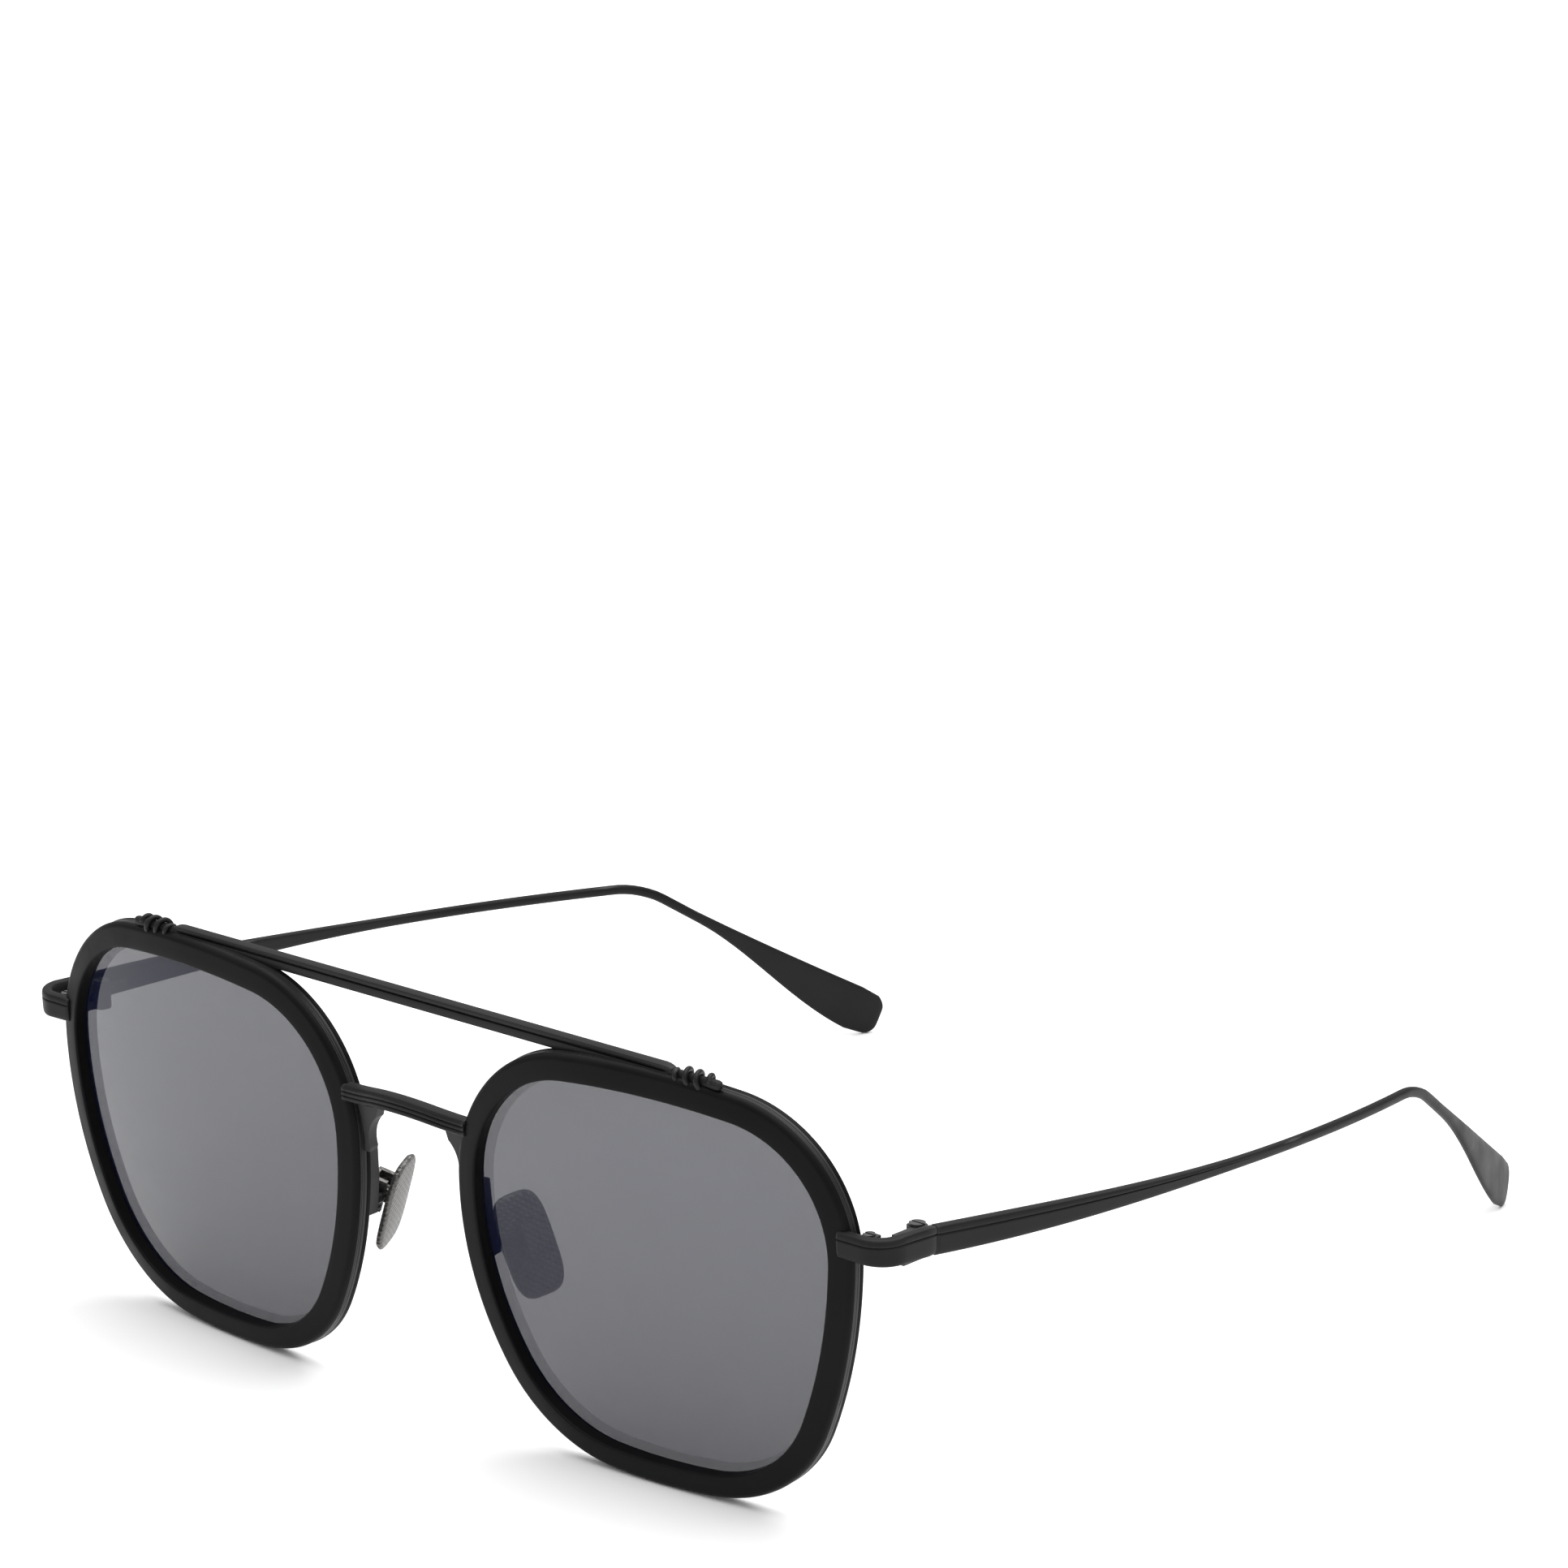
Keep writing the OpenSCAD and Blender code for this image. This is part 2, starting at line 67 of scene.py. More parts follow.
# ---------------------------------------------------------------- shared measurements, millimetres
MM = 0.001
FRONT_TILT = math.radians(4.32)
HINGE = Vector((66.35, 13.6, 7.8))
STRIP_Z = 8.25
LENS_OFFSET = 36.5
WRAP = math.radians(4.8)
BASE_RADIUS = 142.0
CORNERS = ((10.6, 6.7, 14.3), (-9.5, 5.6, 15.6), (-6.0, -7.0, 16.0), (5.7, -7.0, 16.0))
SIDES = (96.0, 40.0, 94.0, 53.5)
RING_WIDTH, RING_DEPTH = 3.05, 2.3
LENS_SETBACK, LENS_THICKNESS = 1.64, 1.66
BAND_INNER, BAND_OUTER, BAND_FRONT, BAND_BACK = 2.3, 3.0, 0.64, 1.7
BAR_Y, BAR_Z, BAR_HALF, ROD_RADIUS, ROD_END = 4.0, 24.65, 40.3, 0.6, 47.4
COIL_WIRE, COIL_START, COIL_PITCH, COIL_TURNS = 0.32, 40.75, 1.6, 3.2
BRIDGE_HALF, BRIDGE_Y, BRIDGE_Z, BRIDGE_BOW, BRIDGE_LEAN = 9.9, 1.3, 11.9, 1.5, math.radians(49)
END_X, END_Z, END_Y, END_HALF, ELBOW, ARM_X, BUTT_Y = 62.4, 9.3, 5.3, 0.7, 3.1, 68.7, 13.44
STRAIGHT, DROP, PITCH, TIP_PITCH = 96.0, 50.0, math.radians(8.9), math.radians(36.6)
TEMPLE_HALF, WIRE_HALF, PADDLE = 1.7, 0.66, 6.6
EAR_BEND, BOW_RADIUS, BOW_START = 15.0, 256.0, math.radians(8.4)
BLADE_LENGTH = 24.0
PAD_AT, PAD_TURN, PAD_FLARE = Vector((12.1, 8.1, -3.5)), math.radians(68), math.radians(-21.5)
PAD_LENGTH, PAD_WIDTH, PAD_BACK, PAD_THICK = 12.6, 6.6, 1.3, 1.1
PAD_SQUARENESS, PAD_DROP = 0.55, 0.9
SOFT_EDGE = 0.00006  # metres

record = frame["record"]
hinge_at = Vector(next(j for j in record["behaviour"]["joints"] if j["name"] == "left_temple_fold")["pos_m"])
TILT = Matrix.Rotation(FRONT_TILT, 3, "X")
ORIGIN = hinge_at - TILT @ HINGE * MM


def stand(point, side):
    """Row frame position, in metres, of a point of the front's frame; side -1 mirrors it."""
    p = ORIGIN + TILT @ Vector(point) * MM
    return Vector((p.x * side, p.y, p.z))


def lerp(a, b, t):
    """Value a share t of the way from a to b."""
    return a + (b - a) * t


def ease(t):
    """Smooth step from 0 to 1 while t runs from 0 to 1."""
    t = min(1.0, max(0.0, t))
    return t * t * (3 - 2 * t)


def grow(s, start, run, power):
    """Power curve from 0 at start to 1 after run."""
    return min(1.0, max(0.0, (s - start) / run)) ** power


# ---------------------------------------------------------------- outline of the lens opening
def arc_middle(a, b, radius):
    """Centre of the long arc that is tangent to corner circles a and b from outside."""
    span = Vector((b[0] - a[0], b[1] - a[1]))
    length, along = span.length, span.normalized()
    ra, rb = radius - a[2], radius - b[2]
    x = (ra * ra - rb * rb + length * length) / (2 * length)
    return Vector(a[:2]) + along * x + Vector((-along.y, along.x)) * math.sqrt(ra * ra - x * x)


MIDDLES = [arc_middle(CORNERS[i], CORNERS[(i + 1) % 4], SIDES[i]) for i in range(4)]


def outline(out, corner_steps=44, side_steps=26):
    """Points round the lens opening, grown outwards by out."""
    def heading(a, b):
        return math.atan2(b[1] - a[1], b[0] - a[0])

    def past(angle, start):
        return angle + 2 * math.pi if angle < start else angle
    points = []
    for i, corner in enumerate(CORNERS):
        following = CORNERS[(i + 1) % 4]
        a0 = heading(MIDDLES[i - 1], corner)
        a1 = past(heading(MIDDLES[i], corner), a0)
        a2 = past(heading(MIDDLES[i], following), a1 - 0.01)
        for k in range(corner_steps):
            a = lerp(a0, a1, k / corner_steps)
            r = corner[2] + out
            points.append((corner[0] + r * math.cos(a), corner[1] + r * math.sin(a)))
        for k in range(side_steps):
            a = lerp(a1, a2, k / side_steps)
            r = SIDES[i] + out
            points.append((MIDDLES[i].x + r * math.cos(a), MIDDLES[i].y + r * math.sin(a)))
    return points


def on_front(u, v, depth):
    """Point of the curved, wrapped front surface at (u, v) of a lens, set back by depth."""
    y = (u * u + v * v) / (2 * BASE_RADIUS) + depth
    return Vector((LENS_OFFSET + u * math.cos(WRAP) - y * math.sin(WRAP),
                   u * math.sin(WRAP) + y * math.cos(WRAP), v))


# ---------------------------------------------------------------- mesh building
def build(name, rings, body, material, side=1, loop=False, sharp=38, replaces=()):
    """Mesh through rings of points of equal count, with lengthwise and crosswise lengths as its UV map."""
    bm = bmesh.new()
    uv_layer = bm.loops.layers.uv.new("sweep")
    rows = [[bm.verts.new(stand(p, side)) for p in ring] for ring in rings]
    count = len(rings[0])
    run = [0.0]
    for a, b in zip(rings, rings[1:] + rings[:1]):
        run.append(run[-1] + (Vector(b[0]) - Vector(a[0])).length)
    girth = [0.0]
    for j in range(count):
        girth.append(girth[-1] + (Vector(rings[0][(j + 1) % count]) - Vector(rings[0][j])).length)
    for i in range(len(rows) if loop else len(rows) - 1):
        nxt = rows[(i + 1) % len(rows)]
        for j in range(count):
            k = (j + 1) % count
            face = bm.faces.new((rows[i][j], rows[i][k], nxt[k], nxt[j]))
            for corner, uv in zip(face.loops, ((run[i], girth[j]), (run[i], girth[j + 1]),
                                               (run[i + 1], girth[j + 1]), (run[i + 1], girth[j]))):
                corner[uv_layer].uv = uv
    if not loop:
        bm.faces.new(rows[0])
        for corner in bm.faces.new(rows[-1]).loops:
            corner[uv_layer].uv = (run[-1], 0)
    bmesh.ops.recalc_face_normals(bm, faces=bm.faces)
    mesh = bpy.data.meshes.new(name)
    bm.to_mesh(mesh)
    bm.free()
    mesh.shade_smooth()
    mesh.set_sharp_from_angle(angle=math.radians(sharp))
    obj = bpy.data.objects.new(name, mesh)
    bpy.context.collection.objects.link(obj)
    mesh.materials.append(material)
    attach(obj, body)
    if replaces:
        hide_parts(*replaces)


def frames(path):
    """Sideways and up directions along a path that stays roughly level."""
    result = []
    for i in range(len(path)):
        t = (path[min(i + 1, len(path) - 1)] - path[max(i - 1, 0)]).normalized()
        s = t.cross(Vector((0, 0, 1))).normalized()
        result.append((s, s.cross(t)))
    return result


GROOVE_AT = 0.42      # height of the groove's middle, as a share of the strip's half height
GROOVE_REACH = 0.10   # half width of the groove, as the same share


def strip_section(half_thick, half_tall, power, groove):
    """Rounded strip outline: (sideways, up) points, with a groove near the top of its outer face."""
    levels = [math.sin(math.radians(a)) for a in range(-90, 91, 9)]
    levels += [GROOVE_AT + 0.6 * GROOVE_REACH * k for k in range(-2, 3)]
    levels = sorted(set(round(q, 4) for q in levels))

    def thick(q):
        return half_thick * max(0.0, 1 - abs(q) ** power) ** (1 / power)

    def cut(q):
        return groove * max(0.0, 1 - abs(q - GROOVE_AT) / GROOVE_REACH)
    outer = [(thick(q) - cut(q), q * half_tall) for q in levels]
    inner = [(-thick(q), q * half_tall) for q in reversed(levels[1:-1])]
    return outer + inner


def strip(path, sections):
    """Rings of a strip: one section per point of its path."""
    return [[p + s * x + w * y for x, y in section]
            for p, (s, w), section in zip(path, frames(path), sections)]


def tube(path, radius, count):
    """Rings of a round wire with domed ends along any path, carried along without twist."""
    t = (path[1] - path[0]).normalized()
    side = t.orthogonal().normalized()
    rings = []
    for i, p in enumerate(path):
        t = (path[min(i + 1, len(path) - 1)] - path[max(i - 1, 0)]).normalized()
        side = (side - t * side.dot(t)).normalized()
        up = t.cross(side)
        turns = [2 * math.pi * k / count for k in range(count)]
        rings.append((p, t, [side * math.cos(a) + up * math.sin(a) for a in turns]))

    def dome(ring, way, angles):
        p, t, circle = ring
        return [[p + t * way * radius * math.cos(math.radians(a)) + c * radius * math.sin(math.radians(a))
                 for c in circle] for a in angles]
    body = [[p + c * radius for c in circle] for p, t, circle in rings]
    return dome(rings[0], -1, (10, 35, 60)) + body + dome(rings[-1], 1, (60, 35, 10))


# ---------------------------------------------------------------- materials
def node_setup(name):
    """New material with its nodes, links and principled shader."""
    material = bpy.data.materials.new(name)
    material.use_nodes = True
    nodes, links = material.node_tree.nodes, material.node_tree.links
    return material, nodes, links, nodes["Principled BSDF"]


def add(nodes, kind, **values):
    """New node, with each value set on the input or property of that name."""
    node = nodes.new(kind)
    for key, value in values.items():
        if key in node.inputs:
            node.inputs[key].default_value = value
        else:
            setattr(node, key, value)
    return node


def noise(nodes, links, scale, detail=4.0, rough=0.55, stretch=None, coords="object"):
    """Noise over the object, or streaks along the sweep when stretch is given."""
    tex = add(nodes, "ShaderNodeTexNoise")
    tex.inputs["Scale"].default_value = scale
    tex.inputs["Detail"].default_value = detail
    tex.inputs["Roughness"].default_value = rough
    mapping = nodes.new("ShaderNodeMapping")
    if stretch:
        mapping.inputs["Scale"].default_value = stretch
    if coords == "sweep":
        source = nodes.new("ShaderNodeUVMap")
        source.uv_map = "sweep"
        links.new(source.outputs["UV"], mapping.inputs["Vector"])
    else:
        source = nodes.new("ShaderNodeTexCoord")
        links.new(source.outputs["Object"], mapping.inputs["Vector"])
    links.new(mapping.outputs["Vector"], tex.inputs["Vector"])
    return tex.outputs["Fac"]


def ramp(nodes, links, value, low, high, start=0.3, end=0.7):
    """Colours low to high over a noise value."""
    node = nodes.new("ShaderNodeValToRGB")
    node.color_ramp.elements[0].position = start
    node.color_ramp.elements[1].position = end
    node.color_ramp.elements[0].color = (*low, 1)
    node.color_ramp.elements[1].color = (*high, 1)
    links.new(value, node.inputs["Fac"])
    return node.outputs["Color"]


def spread(nodes, links, value, low, high):
    """Stretches the middle of a noise value over low to high."""
    node = nodes.new("ShaderNodeMapRange")
    node.inputs["From Min"].default_value = 0.3
    node.inputs["From Max"].default_value = 0.7
    node.inputs["To Min"].default_value = low
    node.inputs["To Max"].default_value = high
    links.new(value, node.inputs["Value"])
    return node.outputs["Result"]


def bump(nodes, links, value, strength, distance, before=None):
    """Bumps of the given height in metres, on top of the normals given by before."""
    node = nodes.new("ShaderNodeBump")
    node.inputs["Strength"].default_value = strength
    node.inputs["Distance"].default_value = distance
    links.new(value, node.inputs["Height"])
    if before is not None:
        links.new(before, node.inputs["Normal"])
    return node.outputs["Normal"]


def surface(name, dark, light, rough, grain, metallic=0.0, specular=0.5, grain_depth=0.00001,
            streaks=False, edge_highlight=0.0):
    """Solid finish: blotchy colour, uneven gloss, fine grain, and painted highlights on sharp outer edges
    where asked.
    """
    material, nodes, links, shader = node_setup(name)
    patches = noise(nodes, links, 60.0, 5.0, 0.6)
    colour = ramp(nodes, links, patches, dark, light)
    # Painted highlight: the sharpest outer edges, found by pointiness, are mixed towards a light grey.
    if edge_highlight:
        geometry = nodes.new("ShaderNodeNewGeometry")
        edge = nodes.new("ShaderNodeMapRange")
        edge.inputs["From Min"].default_value = 0.52
        edge.inputs["From Max"].default_value = 0.62
        links.new(geometry.outputs["Pointiness"], edge.inputs["Value"])
        scaled = add(nodes, "ShaderNodeMath", operation="MULTIPLY")
        scaled.inputs[1].default_value = edge_highlight
        links.new(edge.outputs["Result"], scaled.inputs[0])
        mix = add(nodes, "ShaderNodeMix", data_type="RGBA")
        links.new(scaled.outputs[0], mix.inputs["Factor"])
        links.new(colour, mix.inputs[6])
        mix.inputs[7].default_value = (0.18, 0.18, 0.18, 1)
        colour = mix.outputs[2]
    links.new(colour, shader.inputs["Base Color"])
    fine = noise(nodes, links, grain, 3.0, 0.6)
    gloss = noise(nodes, links, 240.0, 4.0)
    links.new(spread(nodes, links, gloss, rough[0], rough[1]), shader.inputs["Roughness"])
    normal = bump(nodes, links, fine, 0.6, grain_depth)
    if streaks:
        lines = noise(nodes, links, 1.0, 3.0, 0.5, (0.08, 14.0, 1.0), "sweep")
        normal = bump(nodes, links, lines, 0.5, grain_depth * 3, normal)
    links.new(normal, shader.inputs["Normal"])
    shader.inputs["Metallic"].default_value = metallic
    shader.inputs["Specular IOR Level"].default_value = specular
    return material


def lens_face_run():
    """Distance over the lens's front from its first ring of points to its edge, as the sweep UV counts it."""
    u, v = outline(0.0, 30, 18)[0]
    points = [on_front(u * k / 14, v * k / 14, LENS_SETBACK) for k in range(1, 15)]
    return sum((b - a).length for a, b in zip(points, points[1:]))


def lens_material():
    """Grey sun lens, a little lighter and bluer towards the top, partly as its own gradient and partly as a
    painted reflection of the surroundings.

    The tinted layer lies on its front; its edge and back are clear.
    """
    material, nodes, links, shader = node_setup("lens_tint")
    coords = nodes.new("ShaderNodeTexCoord")
    split = nodes.new("ShaderNodeSeparateXYZ")
    links.new(coords.outputs["Object"], split.inputs[0])
    height = nodes.new("ShaderNodeMapRange")
    low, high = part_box("lens_left")
    height.inputs["From Min"].default_value = low[2]
    height.inputs["From Max"].default_value = high[2]
    links.new(split.outputs["Z"], height.inputs["Value"])
    # Colour from the bottom to the top of the lens: the lighter, bluer top is partly the lens's own gradient
    # and partly painted reflection.
    tint_and_reflection = ramp(nodes, links, height.outputs["Result"], LENS_LOW, LENS_HIGH, 0.0, 1.0)
    links.new(tint_and_reflection, shader.inputs["Base Color"])
    links.new(spread(nodes, links, noise(nodes, links, 90, 3.0), 0.03, 0.07), shader.inputs["Roughness"])
    links.new(bump(nodes, links, noise(nodes, links, 35, 1.0), 0.04, 0.0001), shader.inputs["Normal"])
    # See-through share from bottom to top: the clearer top is partly the lens's own gradient and partly
    # painted reflection.
    cover = nodes.new("ShaderNodeMapRange")
    cover.inputs["To Min"].default_value = LENS_ALPHA_LOW
    cover.inputs["To Max"].default_value = LENS_ALPHA_HIGH
    links.new(height.outputs["Result"], cover.inputs["Value"])
    sweep = nodes.new("ShaderNodeUVMap")
    sweep.uv_map = "sweep"
    along = nodes.new("ShaderNodeSeparateXYZ")
    links.new(sweep.outputs["UV"], along.inputs[0])
    on_face = add(nodes, "ShaderNodeMath", operation="LESS_THAN")
    on_face.inputs[1].default_value = lens_face_run() + 0.01
    links.new(along.outputs["X"], on_face.inputs[0])
    alpha = add(nodes, "ShaderNodeMath", operation="MULTIPLY")
    links.new(cover.outputs["Result"], alpha.inputs[0])
    links.new(on_face.outputs[0], alpha.inputs[1])
    links.new(alpha.outputs[0], shader.inputs["Alpha"])
    shader.inputs["IOR"].default_value = 1.5
    shader.inputs["Specular IOR Level"].default_value = 0.3
    material.surface_render_method = "BLENDED"
    return material


def pad_material():
    """Bead-blasted titanium with a fine crossed knurl pressed into it."""
    material, nodes, links, shader = node_setup("pad_metal")
    coords = nodes.new("ShaderNodeTexCoord")
    heights = []
    for angle in (38, -38):
        turned = nodes.new("ShaderNodeMapping")
        turned.inputs["Rotation"].default_value = (math.radians(angle), 0, math.radians(20))
        links.new(coords.outputs["Object"], turned.inputs["Vector"])
        wave = add(nodes, "ShaderNodeTexWave")
        wave.bands_direction = "Z"
        wave.inputs["Scale"].default_value = 520.0
        wave.inputs["Distortion"].default_value = 0.4
        links.new(turned.outputs["Vector"], wave.inputs["Vector"])
        heights.append(wave.outputs["Fac"])
    knurl = add(nodes, "ShaderNodeMath", operation="MULTIPLY")
    links.new(heights[0], knurl.inputs[0])
    links.new(heights[1], knurl.inputs[1])
    blotches = noise(nodes, links, 700, 4.0)
    base = ramp(nodes, links, blotches, (0.09, 0.087, 0.084), (0.18, 0.174, 0.168))
    links.new(base, shader.inputs["Base Color"])
    links.new(spread(nodes, links, blotches, 0.32, 0.5), shader.inputs["Roughness"])
    normal = bump(nodes, links, knurl.outputs[0], 0.9, 0.00012)
    blasted = noise(nodes, links, 3000, 2.0)
    links.new(bump(nodes, links, blasted, 0.4, 0.00002, normal), shader.inputs["Normal"])
    shader.inputs["Metallic"].default_value = 0.85
    return material


# Lens colour and cover at its bottom and top; the lighter, bluer, clearer top is partly the lens's own
# gradient and partly painted reflection.
LENS_LOW, LENS_HIGH = (0.005, 0.006, 0.019), (0.007, 0.009, 0.029)
LENS_ALPHA_LOW, LENS_ALPHA_HIGH = 0.92, 0.888
ACETATE = surface("acetate", (0.003, 0.003, 0.0034), (0.006, 0.006, 0.0066), (0.34, 0.46), specular=0.08,
                  grain=1500, grain_depth=0.000006)
# The band, black, wire and screw finishes each set how strong their painted edge highlight is.
BAND = surface("band_metal", (0.014, 0.014, 0.0145), (0.030, 0.030, 0.031), (0.36, 0.5), metallic=0.7,
               specular=0.3, streaks=True, grain=2500, edge_highlight=0.25)
BLACK = surface("black_metal", (0.006, 0.006, 0.0062), (0.013, 0.013, 0.0135), (0.38, 0.5), specular=0.12,
                grain=2200, edge_highlight=0.2)
WIRE = surface("wire", (0.006, 0.006, 0.006), (0.013, 0.013, 0.013), (0.3, 0.42), metallic=0.3,
               specular=0.2, grain=2500, edge_highlight=0.15)
SCREW = surface("screw_metal", (0.05, 0.05, 0.05), (0.10, 0.10, 0.10), (0.25, 0.4), metallic=0.8,
                grain=2500, edge_highlight=0.3)
PAD = pad_material()
LENS = lens_material()


# ---------------------------------------------------------------- rims, eyewires and lenses
def label_of(side):
    """Name of a side: 1 is the wearer's left, -1 the right."""
    return "left" if side > 0 else "right"


def swept_ring(name, section, material, side, node):
    """Closed ring round the lens opening, from a section of (outward, depth) points."""
    rows = [outline(point[0]) for point in section]
    rings = [[on_front(*row[i], point[1]) for row, point in zip(rows, section)] for i in range(len(rows[0]))]
    build(name, rings, "front", material, side, loop=True, sharp=34, replaces=(node,))


def fillet(centre, radius, start, end, steps):
    """Points (outward, depth) of a rounded edge; 180 degrees faces the lens, -90 faces the front."""
    angles = [math.radians(lerp(start, end, k / steps)) for k in range(steps + 1)]
    return [(centre[0] + radius * math.cos(a), centre[1] + radius * math.sin(a)) for a in angles]


RIM_SECTION = (
    fillet((0.30, 0.30), 0.30, 180, 270, 6)
    + [(0.9, -0.01), (1.5, 0.0), (2.0, 0.02)]
    + fillet((2.33, 0.72), 0.70, 270, 352, 8)
    + [(BAND_INNER, 0.64), (BAND_INNER, BAND_BACK + 0.02), (RING_WIDTH - 0.1, BAND_BACK + 0.02)]
    + fillet((RING_WIDTH - 0.25, RING_DEPTH - 0.25), 0.25, 0, 90, 4)
    + fillet((0.50, RING_DEPTH - 0.2), 0.20, 90, 180, 4)
    + [(0.30, LENS_SETBACK + 0.45), (0.72, LENS_SETBACK + 0.45),
       (0.72, LENS_SETBACK - 0.02), (0.0, LENS_SETBACK - 0.02)]
)


def band_section():
    """Flat metal band with a fine bead at its front edge and a shallow turned line round its middle."""
    bead = [(-0.08, 0), (0, 0.06), (0, 0.16), (-0.14, 0.22), (-0.04, 0.28)]
    line = [(-0.04, 1.18), (-0.11, 1.23), (-0.04, 1.28)]
    outer = [(BAND_OUTER + h, BAND_FRONT + d) for h, d in bead] + [(BAND_OUTER + h, d) for h, d in line]
    outer += [(BAND_OUTER - 0.03, BAND_BACK - 0.08), (BAND_OUTER - 0.12, BAND_BACK)]
    return [(BAND_INNER, BAND_FRONT)] + outer + [(BAND_INNER, BAND_BACK)]


def lens(side, node):
    """Closed curved lens, dense enough for clean reflections, with a bevelled edge in the ring's groove."""
    rings = []
    back = LENS_SETBACK + LENS_THICKNESS
    rows = [(k / 14, 0.0, LENS_SETBACK) for k in range(1, 15)]
    rows += [(1, 0.12, LENS_SETBACK + 0.01), (1, 0.6, LENS_SETBACK + 0.06), (1, 0.6, LENS_SETBACK + 0.38),
             (1, 0.14, LENS_SETBACK + 0.45), (1, 0.14, back - 0.14), (1, 0.0, back)]
    rows += [(k / 14, 0.0, back) for k in range(13, 0, -1)]
    edge = {}
    for scale, out, depth in rows:
        edge.setdefault(out, outline(out, 30, 18))
        rings.append([on_front(u * scale, v * scale, depth) for u, v in edge[out]])
    build("lens_piece_" + label_of(side), rings, "front", LENS, side, sharp=30, replaces=(node,))


# ---------------------------------------------------------------- brow bar, coils and bridge
def brow_bar():
    """Straight bar with an upper rib, a groove and a lower rib, stepped down to a thin rod at each end."""
    deep, tall = 0.7, 0.9
    groove = [(0.04, 0.09), (0.30, 0.14), (0.30, 0.26), (0.10, 0.32), (0.06, 0.38)]
    profile = [(-deep, -tall + 0.15), (-deep, 0.04)] + [(-deep + y, z) for y, z in groove]
    profile += [(-deep + 0.06, tall - 0.18), (-deep + 0.12, tall - 0.05), (-deep + 0.24, tall),
                (deep - 0.15, tall), (deep, tall - 0.15), (deep, -tall + 0.15), (deep - 0.15, -tall),
                (-deep + 0.15, -tall), (-deep + 0.04, -tall + 0.04)]
    shoulder = [(0, 0.68), (0.3, 0.82), (0.8, 0.95), (1.4, 1.0)]
    stations = [(-BAR_HALF + x, f) for x, f in shoulder]
    stations += [(lerp(-BAR_HALF + 3, BAR_HALF - 3, k / 30), 1.0) for k in range(31)]
    stations += [(BAR_HALF - x, f) for x, f in reversed(shoulder)]
    rings = [[Vector((x, BAR_Y + y * f, BAR_Z + z * f)) for y, z in profile] for x, f in stations]
    build("brow_bar_piece", rings, "front", BLACK, sharp=42, replaces=("brow_bar",))
    for side, label in ((1, "left"), (-1, "right")):
        rod = [Vector((x, BAR_Y, BAR_Z)) for x in (BAR_HALF - 0.6, 42, 44, 46, ROD_END - ROD_RADIUS)]
        build("brow_rod_" + label, tube(rod, ROD_RADIUS, 28), "front", BLACK, side)


def brow_coil(side, node):
    """Wire wound round the thin rod, its ends tucked inwards."""
    radius = ROD_RADIUS + COIL_WIRE + 0.01
    steps = int(COIL_TURNS * 40)
    path = []
    for k in range(steps + 1):
        turn = k / 40
        tuck = 1 - 0.5 * (1 - ease(min(k, steps - k) / 12))
        a = 2 * math.pi * turn + 1.2
        r = radius * tuck
        x = COIL_START + COIL_PITCH * turn
        path.append(Vector((x, BAR_Y + r * math.cos(a), BAR_Z + r * math.sin(a))))
    rings = tube(path, COIL_WIRE, 16)
    build("coil_piece_" + label_of(side), rings, "front", WIRE, side, replaces=(node,))


def bridge():
    """Arched bridge with three lengthwise ridges."""
    turn = 2 * math.atan(BRIDGE_BOW / BRIDGE_HALF)
    bend = BRIDGE_HALF / (2 * math.sin(turn))
    lean_sin, lean_cos = math.sin(BRIDGE_LEAN), math.cos(BRIDGE_LEAN)
    flat = Vector((0, lean_cos, lean_sin))
    profile = []
    for ridge in (-0.56, 0.0, 0.56):
        angles = [math.radians(a) for a in range(-90, 91, 30)]
        profile += [(-0.85 + 0.18 * (1 - math.cos(a)), ridge + 0.26 * math.sin(a)) for a in angles]
    profile += [(-0.6, 0.93), (-0.4, 1.0), (0.7, 1.0), (0.85, 0.85),
                (0.85, -0.85), (0.7, -1.0), (-0.4, -1.0), (-0.6, -0.93)]
    rings = []
    for k in range(61):
        x = lerp(-BRIDGE_HALF, BRIDGE_HALF, k / 60)
        if abs(x) < BRIDGE_HALF / 2:
            a = math.asin(x / bend)
            rise = BRIDGE_BOW - bend * (1 - math.cos(a))
        else:
            a = math.copysign(math.asin((BRIDGE_HALF - abs(x)) / bend), x)
            rise = bend * (1 - math.cos(a))
        centre = Vector((x, BRIDGE_Y - rise * lean_sin, BRIDGE_Z + rise * lean_cos))
        across = Vector((math.sin(a), -math.cos(a) * lean_sin, math.cos(a) * lean_cos))
        back = flat * lean_cos - across * lean_sin
        up = flat * lean_sin + across * lean_cos
        rings.append([centre + back * y + up * z for y, z in profile])
    build("bridge_piece", rings, "front", BLACK, sharp=40, replaces=("bridge",))


